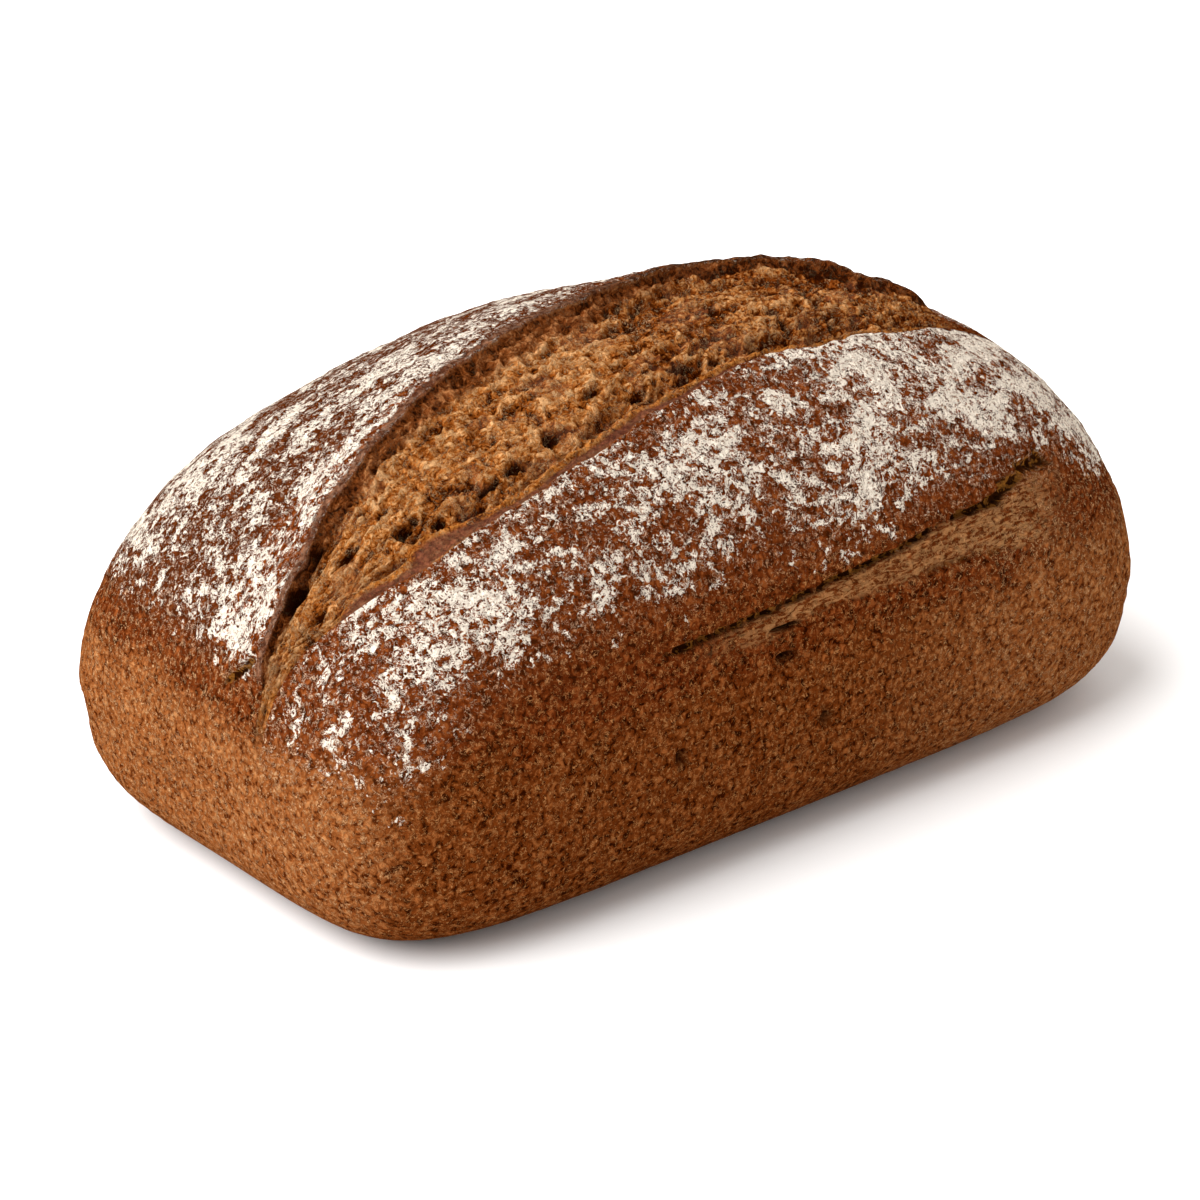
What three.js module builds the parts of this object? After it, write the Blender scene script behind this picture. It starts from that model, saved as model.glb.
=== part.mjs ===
import * as THREE from 'three';
import { mergeVertices } from 'three/addons/utils/BufferGeometryUtils.js';

// A wholemeal loaf baked in a tin, as one solid. Millimetres, +Z up, and the origin is at
// the middle of the flat base. The loaf lies along X, with its score open towards -Y.
// The tin shaped the leaning lower walls. Above them the dough rose into a rounded dome,
// and the lengthways score tore open, which left the crust behind it standing as a lip.

// Overall sizes: the height to the top of the lip is DOME_HEIGHT + LIP_RISE.
const LENGTH = 226;
const WIDTH = 130;
const DOME_HEIGHT = 104;

// The body's form. A roundness of 2 is an ellipse, and a larger one is fuller.
const WIDEST_LEVEL = 32;
const WALL_LEAN = 3.5;
const BASE_EDGE_RADIUS = 18;
const SIDE_ROUNDNESS = 2.4;
const END_ROUNDNESS = 2.4;
const CORNER_ROUNDNESS_LOW = 6;
const CORNER_ROUNDNESS_TOP = 2;

// The lip behind the score, the torn crumb below it, and the front edge of the score.
const LIP_RISE = 5;
const TEAR_DEPTH_AT_LIP = 1.5;
const TEAR_DEPTH_IN_FRONT = 1.2;
const FRONT_EDGE_RISE = 1;
const FRONT_EDGE_REACH = 5;

// Bearings turn about the loaf's core, a line across the loaf at the widest level:
// 0 degrees is the +X end, 90 is straight up and 180 is the -X end.
const FAR_TIP = 46;
const FAR_RUN_OUT = 16;
const NEAR_TIP = 173;
const NEAR_RUN_OUT = 30;
const COLUMN_FADE = 28;

// The two edges of the score, each point as [bearing, sideways place in Y].
const REAR_EDGE = [
  [46, -23], [56, -13], [65, -1], [76, 5], [88, 5], [101, 1],
  [114, -3], [127, -9], [140, -15], [152, -18.5], [173, -19.5],
];
const FRONT_EDGE = [
  [46, -25], [57, -28.5], [68, -30], [84, -30.5], [98, -34], [112, -37.5],
  [126, -38.5], [137, -37], [147, -31.5], [157, -25], [173, -21.5],
];

// The lip along the rear edge: [bearing, share of LIP_RISE, how far behind the edge it fades].
const LIP_FORM = [
  [46, 0, 9], [52, 0.45, 9], [59, 0.7, 9], [80, 0.74, 9], [90, 0.78, 16], [102, 1, 20],
  [114, 0.96, 20], [126, 0.82, 15], [140, 0.7, 11], [156, 0.56, 11], [167, 0.2, 11], [173, 0, 11],
];

// Behind the lip, the rear flank of the half towards +X sagged.
const REAR_DROOP = 3;
const DROOP_REACH = 25;
const DROOP_FULL_UP_TO = 78;
const DROOP_GONE_FROM = 95;

// The grid that is wrapped around the body, with one column on each edge of the score.
const STEPS_ALONG = 40;
const STEPS_ACROSS = 24;
const STEPS_UP = 12;
const FRONT_COLUMN = 7;
const REAR_COLUMN = 15;
const REFINEMENTS = 40;
const FLAT_WITHIN = 0.001;

const { clamp, lerp, smoothstep, radToDeg, degToRad } = THREE.MathUtils;

// Half the length and half the width of the level cut at height z, and its corners' form.
function levelCut(z) {
  const up = clamp((z - WIDEST_LEVEL) / (DOME_HEIGHT - WIDEST_LEVEL), 0, 1);
  const down = clamp((WIDEST_LEVEL - z) / WIDEST_LEVEL, 0, 1);
  const edge = clamp((BASE_EDGE_RADIUS - z) / BASE_EDGE_RADIUS, 0, 1);
  const inset = WALL_LEAN * down + BASE_EDGE_RADIUS * (1 - Math.sqrt(1 - edge * edge));
  return {
    halfLength: (LENGTH / 2) * (1 - up ** END_ROUNDNESS) ** (1 / END_ROUNDNESS) - inset,
    halfWidth: (WIDTH / 2) * (1 - up ** SIDE_ROUNDNESS) ** (1 / SIDE_ROUNDNESS) - inset,
    roundness: lerp(CORNER_ROUNDNESS_LOW, CORNER_ROUNDNESS_TOP, up),
  };
}

function isInside(point) {
  if (point.z <= 0 || point.z >= DOME_HEIGHT) return false;
  const { halfLength, halfWidth, roundness } = levelCut(point.z);
  const along = Math.abs(point.x) / halfLength;
  const across = Math.abs(point.y) / halfWidth;
  return along ** roundness + across ** roundness < 1;
}

// The share, from 0 to 1, at which a straight path that starts inside leaves the body.
function leavingShare(pointAtShare) {
  let inner = 0;
  let outer = 1;
  for (let i = 0; i < REFINEMENTS; i += 1) {
    const middle = (inner + outer) / 2;
    if (isInside(pointAtShare(middle))) inner = middle;
    else outer = middle;
  }
  return inner;
}

// A place on the box around the body, given by shares from -1 to 1 measured from the core.
function onBox(along, across, up) {
  const rise = up > 0 ? DOME_HEIGHT - WIDEST_LEVEL : WIDEST_LEVEL;
  return new THREE.Vector3((along * LENGTH) / 2, (across * WIDTH) / 2, up * rise);
}

function bearingOf(along, up) {
  const bearing = radToDeg(Math.atan2(up, along));
  return bearing < -90 ? bearing + 360 : bearing;
}

// A smooth run of values between rows that each start with their bearing.
function alongScore(rows) {
  const bearings = rows.map((row) => row[0]);
  const values = rows.flatMap((row) => row.slice(1));
  const count = rows[0].length - 1;
  return new THREE.CubicInterpolant(bearings, values, count, new Float32Array(count));
}
const rearEdge = alongScore(REAR_EDGE);
const frontEdge = alongScore(FRONT_EDGE);
const lipForm = alongScore(LIP_FORM);

// The share across the box at which a ray from the core meets the body at this place.
function shareAcross(bearing, place) {
  const angle = degToRad(bearing);
  const reach = Math.max(Math.abs(Math.cos(angle)), Math.abs(Math.sin(angle)));
  const outward = onBox(Math.cos(angle) / reach, 0, Math.sin(angle) / reach);
  const share = leavingShare((s) => (
    new THREE.Vector3(outward.x * s, place, WIDEST_LEVEL + outward.z * s)));
  return place / share / (WIDTH / 2);
}

// How far the grid's columns follow the score: fully between its tips, fading past them.
function columnPull(bearing) {
  const farSide = smoothstep(bearing, FAR_TIP - COLUMN_FADE, FAR_TIP);
  const nearSide = 1 - smoothstep(bearing, NEAR_TIP, NEAR_TIP + COLUMN_FADE);
  return farSide * nearSide;
}

// How open the score is: shut at both tips, and fully open past their run-out.
function openness(bearing) {
  const farSide = smoothstep(bearing, FAR_TIP, FAR_TIP + FAR_RUN_OUT);
  const nearSide = 1 - smoothstep(bearing, NEAR_TIP - NEAR_RUN_OUT, NEAR_TIP);
  return farSide * nearSide;
}

function edgeShares(bearing) {
  const pull = columnPull(bearing);
  const evenFront = (2 * FRONT_COLUMN) / STEPS_ACROSS - 1;
  const evenRear = (2 * REAR_COLUMN) / STEPS_ACROSS - 1;
  if (pull === 0) return { front: evenFront, rear: evenRear };
  const front = shareAcross(bearing, frontEdge.evaluate(bearing)[0]);
  const rear = shareAcross(bearing, rearEdge.evaluate(bearing)[0]);
  return { front: lerp(evenFront, front, pull), rear: lerp(evenRear, rear, pull) };
}

// The share across the box of a grid column, which may lie between two whole columns.
function columnShare(column, shares) {
  if (column <= FRONT_COLUMN) return lerp(-1, shares.front, column / FRONT_COLUMN);
  if (column >= REAR_COLUMN) {
    return lerp(shares.rear, 1, (column - REAR_COLUMN) / (STEPS_ACROSS - REAR_COLUMN));
  }
  const between = (column - FRONT_COLUMN) / (REAR_COLUMN - FRONT_COLUMN);
  return lerp(shares.front, shares.rear, between);
}

// How far the crust stands out from the plain body, or the torn crumb lies below it.
function relief(column, bearing, place) {
  const open = openness(bearing);
  if (open === 0) return 0;
  if (column >= REAR_COLUMN) {
    const behind = place - rearEdge.evaluate(bearing)[0];
    const [share, reach] = lipForm.evaluate(bearing);
    const sagging = 1 - smoothstep(bearing, DROOP_FULL_UP_TO, DROOP_GONE_FROM);
    const droop = open * REAR_DROOP * sagging * smoothstep(behind, 0, DROOP_REACH);
    return LIP_RISE * share * Math.exp(-((behind / reach) ** 2)) - droop;
  }
  if (column <= FRONT_COLUMN) {
    const before = (frontEdge.evaluate(bearing)[0] - place) / FRONT_EDGE_REACH;
    return open * FRONT_EDGE_RISE * Math.exp(-before * before);
  }
  const between = (column - FRONT_COLUMN) / (REAR_COLUMN - FRONT_COLUMN);
  return -open * lerp(TEAR_DEPTH_IN_FRONT, TEAR_DEPTH_AT_LIP, between ** 2);
}

// The point of the loaf's surface that a point of the wrapped grid moves to.
function surfacePoint(along, evenAcross, up) {
  const core = new THREE.Vector3(0, 0, WIDEST_LEVEL);
  const bearing = bearingOf(along, up);
  const column = ((evenAcross + 1) * STEPS_ACROSS) / 2;
  const ray = onBox(along, columnShare(column, edgeShares(bearing)), up);
  const outward = ray.clone().normalize();
  const share = leavingShare((s) => ray.clone().multiplyScalar(s).add(core));
  const point = ray.multiplyScalar(share).add(core);
  point.addScaledVector(outward, relief(column, bearing, point.y));
  if (point.z < FLAT_WITHIN) point.z = 0;
  return point;
}

function makeLoafGeometry() {
  const grid = new THREE.BoxGeometry(2, 2, 2, STEPS_ALONG, STEPS_ACROSS, STEPS_UP);
  grid.deleteAttribute('normal');
  grid.deleteAttribute('uv');
  const geometry = mergeVertices(grid);
  const positions = geometry.getAttribute('position');
  for (let i = 0; i < positions.count; i += 1) {
    const point = surfacePoint(positions.getX(i), positions.getY(i), positions.getZ(i));
    positions.setXYZ(i, point.x, point.y, point.z);
  }
  geometry.computeBoundingBox();
  const middle = geometry.boundingBox.getCenter(new THREE.Vector3());
  geometry.translate(-middle.x, -middle.y, 0);
  geometry.computeVertexNormals();
  return geometry;
}

const crust = new THREE.MeshStandardMaterial({
  color: 0x8a5230,
  roughness: 0.85,
  metalness: 0,
});

const loaf = new THREE.Mesh(makeLoafGeometry(), crust);
loaf.name = 'loaf';

const tinLoaf = new THREE.Group();
tinLoaf.add(loaf);

export default tinLoaf;
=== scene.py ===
"""The looks of a wholemeal tin loaf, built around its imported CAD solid.

One closed mesh, loaf_crust, takes the solid's place. It is a grid wrapped around the same rounded
body, with close columns where the score tore open, and its cracks, lips, pores and torn crumb are
shaped in the mesh. Lengths are in millimetres until the mesh is made, and Blender's are in metres.
"""
from math import cos, radians, sin

import bmesh
import bpy
import numpy as np
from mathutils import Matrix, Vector, noise


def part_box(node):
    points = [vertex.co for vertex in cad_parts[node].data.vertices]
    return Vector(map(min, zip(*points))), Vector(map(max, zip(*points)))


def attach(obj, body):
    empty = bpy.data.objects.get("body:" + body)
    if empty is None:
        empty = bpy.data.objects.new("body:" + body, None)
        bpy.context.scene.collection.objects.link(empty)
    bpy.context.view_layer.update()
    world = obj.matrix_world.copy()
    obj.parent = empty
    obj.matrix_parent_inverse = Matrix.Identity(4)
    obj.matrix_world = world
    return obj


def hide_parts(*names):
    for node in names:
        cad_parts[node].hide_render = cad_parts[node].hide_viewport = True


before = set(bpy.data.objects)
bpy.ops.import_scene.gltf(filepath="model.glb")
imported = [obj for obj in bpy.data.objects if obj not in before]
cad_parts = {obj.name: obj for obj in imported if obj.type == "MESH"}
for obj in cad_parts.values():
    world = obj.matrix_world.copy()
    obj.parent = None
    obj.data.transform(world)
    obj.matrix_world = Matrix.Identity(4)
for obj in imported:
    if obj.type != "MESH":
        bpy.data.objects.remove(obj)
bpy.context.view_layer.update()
MM = 0.001

# ---- The body's sizes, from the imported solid's box, and its form as the solid has it ----
low, high = (np.array(corner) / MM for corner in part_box("loaf"))
LENGTH, WIDTH = (high - low)[:2]
LIP_RISE = 5.0
DOME_HEIGHT = 104.0
WIDEST_LEVEL = 32.0
WALL_LEAN = 3.5
BASE_EDGE_RADIUS = 18.0
SIDE_ROUNDNESS = 2.4
END_ROUNDNESS = 2.4
CORNER_ROUNDNESS_LOW = 6.0
CORNER_ROUNDNESS_TOP = 2.0

# ---- The score. Bearings turn about a line across the loaf at its widest level: 0 degrees is
# the +X end, 90 is straight up and 180 is the -X end. Edges are [bearing, place in Y]. ----
FAR_TIP = 46.0
FAR_RUN_OUT = 16.0
NEAR_TIP = 173.0
NEAR_RUN_OUT = 30.0
COLUMN_FADE = 28.0
REAR_EDGE = [
    (46, -23), (56, -13), (65, -1), (76, 5), (88, 5), (101, 1),
    (114, -3), (127, -9), (140, -15), (152, -18.5), (173, -19.5),
]
FRONT_EDGE = [
    (46, -25), (57, -28.5), (68, -30), (84, -30.5), (98, -34), (112, -37.5),
    (126, -38.5), (137, -37), (147, -31.5), (157, -25), (173, -21.5),
]

# ---- The tear. Heights stand on the plain body; distances are in Y from one of the edges. ----
# The lip along the rear edge: [bearing, share of LIP_RISE, how far behind the edge it fades].
LIP_FORM = [
    (46, 0, 9), (50.5, 0.15, 9), (52, 0.5, 9), (59, 0.7, 9), (80, 0.74, 9), (90, 0.78, 16),
    (102, 1, 20), (114, 0.96, 20), (126, 0.82, 14), (140, 0.7, 8), (155, 0.56, 7),
    (158.5, 0.42, 7), (161.5, 0.05, 7), (173, 0, 7),
]
# Behind the lip the crust sagged, most between the middle two of these bearings.
REAR_DROOP = 3.0
DROOP_SPAN = (38, 52, 78, 95)
DROOP_REACH, DROOP_REACH_AT_TIP = 25.0, 14.0
DROOP_REACHES_OUT = (54, 66)
# A knob on the lip: its bearing, half its length in degrees, and its height.
KNOB = (61.5, 1.5, 1.2)
# The smooth strip that the blade cut, behind the front edge: [bearing, width].
CUT_WIDTHS = [
    (46, 0.6), (84, 0.8), (98, 1.5), (107, 2.2), (120, 1.2), (128, 2.2),
    (134, 5.0), (139, 2.0), (143, 3.4), (148, 1.0), (173, 0.4),
]
# Past that strip a ridge, then a groove: [distance, height].
LEDGE = [(0, -0.1), (0.9, 0.5), (1.6, -0.8), (2.4, -2.6), (3.6, -2.0), (6.0, -0.4), (9.0, 0.0)]
FRONT_EDGE_RISE = 1.0
FRONT_EDGE_REACH = 5.0
TEAR_SWELL = 0.9
# These distances are for a tear of this width, and shrink where it is narrower.
FULL_TEAR_WIDTH = 20.0
# Below the lip: [distance, share of the lip's height]. Most of it is a crumbly wall. Over the
# top a second ridge stands in front of that wall, and towards the near end there is a gap.
WALL_BELOW = [(0, 1), (0.5, 0.68), (1.6, 0.45), (3.2, 0.36), (5, 0.2), (8, 0.06), (12, 0)]
RIDGE_BELOW = [
    (0, 1), (0.5, 0.55), (1.8, 0.15), (3.3, -0.1), (4.3, 0.5),
    (5.1, 0.8), (5.9, 0.6), (7.0, 0.05), (12, 0),
]
GAP_BELOW = [
    (0, 1), (0.5, 0.72), (1.2, 0.36), (2.0, 0.06), (2.8, -0.04),
    (3.6, 0.04), (5, 0.1), (8, 0.06), (12, 0),
]
# How far the gap reaches in under the lip: [distance, how far].
GAP_UNDERCUT = [(0, 0), (0.5, 0.3), (1.6, 0.6), (2.5, 0.4), (3.4, 0)]
RIDGE_SPAN = (74, 78, 89, 93)
GAP_SPAN = (127, 137, 155, 162)
# Burst bubbles and splits in the crumb: [bearing, Y, length along, length across, depth].
PORES = [
    (142.6, -15.6, 10.0, 4.2, 5.0), (147.6, -18.0, 7.0, 3.6, 4.5), (136.8, -11.5, 4.0, 2.2, 2.0),
    (130.3, -9.5, 4.0, 2.2, 2.0), (133.3, -27.5, 10.0, 2.2, 3.2), (139.6, -22.5, 6.5, 2.2, 2.8),
    (148.5, -25.5, 4.5, 2.0, 2.4), (112.6, -29.0, 6.0, 2.6, 2.8), (118.6, -31.0, 9.0, 2.0, 2.6),
    (122.6, -31.5, 8.0, 1.8, 2.6), (130.0, -31.0, 4.0, 2.0, 2.4), (153.6, -17.0, 4.0, 2.0, 2.0),
    (74.8, -21.0, 2.6, 8.0, 2.8), (68.0, -15.0, 2.6, 6.0, 2.8), (68.6, -26.5, 2.4, 7.0, 2.8),
    (66.4, -8.5, 2.4, 9.0, 2.4), (81.0, -12.0, 2.4, 6.0, 2.0), (95.0, -9.0, 8.0, 2.4, 2.2),
    (104.0, -24.0, 6.0, 2.0, 2.0), (92.0, -25.5, 9.0, 1.8, 2.2), (99.5, -28.5, 7.0, 1.6, 2.4),
    (87.0, -26.5, 5.0, 1.5, 2.2), (157.5, -22.5, 5.0, 1.5, 2.6), (164.5, -21.2, 7.0, 1.2, 3.0),
]
# The crumb and the rim of the lip are toasted up to the first bearing, and paler from the second.
TOASTED_UP_TO, PALER_FROM = 80.0, 104.0

# ---- The grid: steps between neighbouring stops, from one side of the body to the other ----
STEPS_ALONG = 300
FRONT_COLUMN, REAR_COLUMN, LAST_COLUMN = 30, 98, 144
# The rows, from the base to the widest level at 0 and on to the top: [level, steps above it].
ROWS_UP = [(-1.0, 10), (-0.3, 10), (0.1, 10), (0.30, 30), (0.52, 10), (1.0, 0)]
EDGE_CROWDING = 0.45
CLOSEST_STEP = 0.35
REFINEMENTS = 26
BELOW_TOP = 0.999999
FLAT_WITHIN = 0.01
SMALLEST = 1e-9

# ---- The crumb's relief, each kind as [length, width, height]. Lengths are in run, which is
# RUN_PER_DEGREE millimetres for each degree of bearing. ----
RUN_PER_DEGREE = 2.2
STRAND_SPREAD = 30.0
BROAD_BEND, CLOSE_BEND = (12, 9, 2.2), (4, 4, 0.8)
SWELLS = (30, 9, 1.0)
STRANDS = (15, 3.2, 1.7)
THREADS = (4.5, 1.7, 1.1)
SHREDS = (2.8, 1.3, 0.9)
TUFTS = (2.3, 1.7, 0.7)
FOLDS = (4.2, 20, 1.5)
FOLDED_SHARE = 0.8
# Folds across the tear at its far end: full up to the first bearing, and gone from the second.
FOLDED_UP_TO, STRANDS_FROM = 65.0, 77.0
# A ridge's height before noise lowers it, and how fast it falls.
RIDGE_MIDDLE, FOLD_MIDDLE, RIDGE_FALL = 0.36, 0.33, 1.7
PORE_RAGGEDNESS = 0.5
RELIEF_RANGE = 5.0

# ---- The front side's cracks, as [X, Z], and its burst bubbles ----
SIDE_CRACK = [
    (-40, 57.5), (-5, 59.2), (13, 60.6), (31, 62.2), (45, 64.0),
    (52, 63.9), (60, 64.8), (68, 67), (80, 68),
]
CRACK_ENDS, CRACK_DEPTH = (-42, 82), 2.4
CRACK_HALF_WIDTH, CRACK_BROADEST = 1.0, 1.9
CRACK_BROAD_SPAN = (52, 58, 72, 80)
# The lower edge of the shredded band below that crack.
SHRED_FOOT = [(-12, 52.2), (0, 54.4), (28, 54.2), (46, 54.4), (72, 50.2)]
FOOT_ENDS, FOOT_DEPTH, FOOT_HALF_WIDTH, FOOT_DARKNESS = (28, 62), 0.9, 1.1, 0.3
BAND_SPAN = (-34, -4, 62, 84)
BAND_DEPTH, BAND_RIDGES, CRUST_ABOVE_BAND = 0.25, 0.5, 0.6
BAND_FLOUR = 0.25
CRACK_FADE = 8
# Burst bubbles: [X, Z, length, height, depth].
HOLES = [
    (-5.7, 47.4, 7.0, 2.6, 2.6), (-5.5, 54.2, 9.5, 1.6, 2.4),
    (-36.0, 34.0, 3.6, 3.2, 2.6), (5.0, 30.0, 4.2, 3.4, 2.4),
]
# The short crack under the lip's near corner: its start as [Y, Z], its slope and its end in Y.
FLAP_CORNER = (-14.3, 59.3)
FLAP_SLOPE = -0.83
FLAP_END = -4.0
FLAP_DEPTH, FLAP_LIFT = 1.6, 0.9

# ---- The crust's unevenness ----
BROAD_SIZE, BROAD_HEIGHT = (60, 38, 30), 0.7
MIDDLING_SIZE, MIDDLING_HEIGHT = 9.0, 0.35
FINE_SIZE, FINE_HEIGHT = 2.4, 0.28
GRAIN_SIZE, GRAIN_HEIGHT, GRAIN_LIFT = 2.6, 0.5, 0.3
OFF_BASE_BY = 14
BUMP_HEIGHT = 3.0

# ---- Scorching with painted shade under the lip, and flour ----
# How far below the lip the crumb is darker, browned and in painted shade of the lip: [bearing,
# distance].
SCORCH_AND_SHADE_REACH = [(46, 2.0), (74, 2.8), (82, 7.5), (112, 7.5), (128, 4.2), (140, 3.2), (173, 2.4)]
# The level at which the flour has half faded: [X, Z].
FLOUR_LOW_FRONT = [
    (-112, 36), (-100, 40), (-88, 51), (-76, 58), (-60, 62), (80, 64), (95, 57), (112, 50),
]
FLOUR_LOW_REAR = [(-112, 54), (-80, 58), (0, 60), (80, 58), (112, 54)]
FLOUR_FADE_FRONT, FLOUR_FADE_REAR = 17.0, 12.0
# How much flour lies above it: [X, share].
FLOUR_ALONG_FRONT = [
    (-112, 0.8), (-98, 1.06), (-80, 1.04), (-50, 0.95), (0, 0.97), (45, 1.14), (80, 1.3),
]
FLOUR_REAR = 1.1

# ---- The colours, as a screen shows them from 0 to 255 ----
COLOURS = {
    "wall_pit": (46, 12, 0), "wall": (106, 49, 14), "wall_grain": (150, 86, 42),
    # A lighter copy of the walls' colours: painted light at the near end, and paler walls low on the
    # right half.
    "lit_end_and_pale_pit": (80, 32, 6), "lit_end_and_pale": (142, 80, 38), "lit_end_and_pale_grain": (178, 118, 70),
    "upper_pit": (42, 10, 0), "upper": (95, 38, 9), "upper_grain": (140, 74, 34),
    "darkest_crust": (62, 24, 7), "shred_split": (96, 44, 12), "shred": (214, 158, 102),
    "flake_and_glint": (196, 132, 78), "lit_end_and_pale_flake_glint": (214, 164, 116), "flour": (243, 230, 213),
    "dusted_crust": (156, 86, 40), "flour_film": (218, 192, 166),
    "crumb_hole": (54, 16, 0), "crumb_hollow_shade": (144, 74, 22), "toasted_hollow_shade": (126, 60, 15),
    "crumb": (184, 118, 60), "crumb_tuft_highlight": (222, 168, 114), "crumb_split_shade": (76, 30, 4),
    "crumb_blotch": (150, 100, 76), "crumb_glint": (236, 192, 142), "front_ridge_highlight": (206, 130, 56),
    "scorched_and_shaded_hollow": (40, 14, 3), "scorched_and_shaded": (116, 56, 22), "scorched_tuft_highlight": (170, 104, 56),
    "toasted": (96, 42, 12), "pore_shade_colour": (34, 10, 0), "cut_dark": (82, 42, 34), "cut": (118, 70, 52),
    "dry_edge_dark": (84, 48, 32), "dry_edge": (144, 104, 80),
    "toasted_edge_dark": (48, 26, 14), "toasted_edge": (116, 72, 44),
    "crack_shade": (48, 20, 2), "crack": (150, 96, 38), "hole": (22, 8, 2),
    "floor": (250, 250, 250),
}

# ---- The camera and the light ----
VIEW_AZIMUTH = -39.9
VIEW_ELEVATION = 25.14
VIEW_CENTRE_HEIGHT = 50.0
CAMERA_DISTANCE = 1.19
LENS_MM = 162.7
AIM_RIGHT = -3.2
AIM_UP = -13.2
CLIP_END = 20
WORLD_COLOUR = (1, 0.965, 0.93, 1)
WORLD_STRENGTH = 0.85
KEY_FROM = (-0.75, 0.3, 0.86)
KEY_STRENGTH = 5.0
KEY_SOFTNESS = 70.0
FLOOR_SIZE = 12


def smoothstep(value, start, end):
    share = np.clip((value - start) / (end - start), 0, 1)
    return share * share * (3 - 2 * share)


def mix(start, end, share):
    return start + (end - start) * share


def bell(distance, reach):
    """1 at no distance, falling smoothly to nothing past the reach."""
    return np.exp(-(distance / reach) ** 2)


def smooth_curve(points, at):
    """The height of a smooth curve through (place, height) points."""
    places, heights = np.array(points, float).T
    slopes = np.gradient(heights, places)
    at = np.clip(at, places[0], places[-1])
    i = np.clip(np.searchsorted(places, at, side="right") - 1, 0, len(places) - 2)
    span = places[i + 1] - places[i]
    t = (at - places[i]) / span
    start = heights[i] * (1 + 2 * t) * (1 - t) ** 2 + slopes[i] * span * t * (1 - t) ** 2
    end = heights[i + 1] * t * t * (3 - 2 * t) + slopes[i + 1] * span * t * t * (t - 1)
    return start + end


def lumps(points, size, seed=0.0):
    """Smooth noise from about -1 to 1, with lumps of this size, which may differ by axis."""
    scaled = points / np.array(size) + seed
    return np.array([noise.noise(p) for p in scaled.tolist()])


def rough(points, size, seed):
    """Noise in two octaves, the second half as large and half as strong as the first."""
    return lumps(points, size, seed) + lumps(points, np.array(size) / 2, seed + 7.3) / 2


def ridged(points, form, seed, middle=RIDGE_MIDDLE):
    """Sharp-crested ridges of this form, which is [length, width, height]."""
    length, width, height = form
    return height * (middle - np.abs(lumps(points, (length, width, 1), seed)) * RIDGE_FALL)


def lumpy(points, form, seed):
    """Smooth lumps of this form, which is [length, width, height]."""
    length, width, height = form
    return height * lumps(points, (length, width, 1), seed)


# ---- The plain body ----
def level_cut(z):
    up = np.clip((z - WIDEST_LEVEL) / (DOME_HEIGHT - WIDEST_LEVEL), 0, BELOW_TOP)
    down = np.clip((WIDEST_LEVEL - z) / WIDEST_LEVEL, 0, 1)
    edge = np.clip((BASE_EDGE_RADIUS - z) / BASE_EDGE_RADIUS, 0, 1)
    inset = WALL_LEAN * down + BASE_EDGE_RADIUS * (1 - np.sqrt(1 - edge ** 2))
    half_length = LENGTH / 2 * (1 - up ** END_ROUNDNESS) ** (1 / END_ROUNDNESS) - inset
    half_width = WIDTH / 2 * (1 - up ** SIDE_ROUNDNESS) ** (1 / SIDE_ROUNDNESS) - inset
    return half_length, half_width, mix(CORNER_ROUNDNESS_LOW, CORNER_ROUNDNESS_TOP, up)


def fullness(points):
    """Below 1 inside the body and above 1 outside it, except past its top and its base."""
    x, y, z = np.abs(points[:, 0]), np.abs(points[:, 1]), points[:, 2]
    half_length, half_width, roundness = level_cut(z)
    along = x / np.maximum(half_length, SMALLEST)
    across = y / np.maximum(half_width, SMALLEST)
    return (along ** roundness + across ** roundness) ** (1 / roundness)


def leaving_share(point_at):
    """The share at which straight paths that start inside the body leave it."""
    count = len(point_at(0.0))
    inner, outer = np.zeros(count), np.ones(count)
    for _ in range(REFINEMENTS):
        middle = (inner + outer) / 2
        points = point_at(middle[:, None])
        inside = (fullness(points) < 1) & (points[:, 2] > 0) & (points[:, 2] < DOME_HEIGHT)
        inner = np.where(inside, middle, inner)
        outer = np.where(inside, outer, middle)
    return inner


CORE = np.array([0, 0, WIDEST_LEVEL])


def on_box(along, across, up):
    rise = np.where(up > 0, DOME_HEIGHT - WIDEST_LEVEL, WIDEST_LEVEL)
    return np.stack([along * LENGTH / 2, across * WIDTH / 2, up * rise], axis=1)


def outward_normals(points):
    """The body's unit normals, straight down on its flat base."""
    step = 0.05
    slopes = []
    for axis in range(3):
        move = np.zeros(3)
        move[axis] = step
        slopes.append(fullness(points + move) - fullness(points - move))
    normals = np.stack(slopes, axis=1)
    normals /= np.maximum(np.linalg.norm(normals, axis=1, keepdims=True), SMALLEST)
    normals[points[:, 2] < FLAT_WITHIN] = (0, 0, -1)
    return normals


# ---- The grid wrapped around it ----
def wrapped_box(counts):
    """The outside of a box of cells: its corners in whole steps, and its quads facing out."""
    sides = []
    for axis in range(3):
        first, second = (axis + 1) % 3, (axis + 2) % 3
        cells = np.meshgrid(np.arange(counts[first]), np.arange(counts[second]), indexing="ij")
        for end in (0, counts[axis]):
            corners = np.zeros(cells[0].shape + (4, 3), int)
            corners[..., axis] = end
            for corner, (da, db) in enumerate(((0, 0), (1, 0), (1, 1), (0, 1))):
                corners[..., corner, first] = cells[0] + da
                corners[..., corner, second] = cells[1] + db
            quads = corners.reshape(-1, 4, 3)
            sides.append(quads if end else quads[:, ::-1])
    quads = np.concatenate(sides)
    corners, index = np.unique(quads.reshape(-1, 3), axis=0, return_inverse=True)
    return corners, index.reshape(-1, 4)


def row_levels():
    levels = [np.linspace(a, b, n, endpoint=False) for (a, n), (b, _) in zip(ROWS_UP, ROWS_UP[1:])]
    return np.append(np.concatenate(levels), 1.0)


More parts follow.
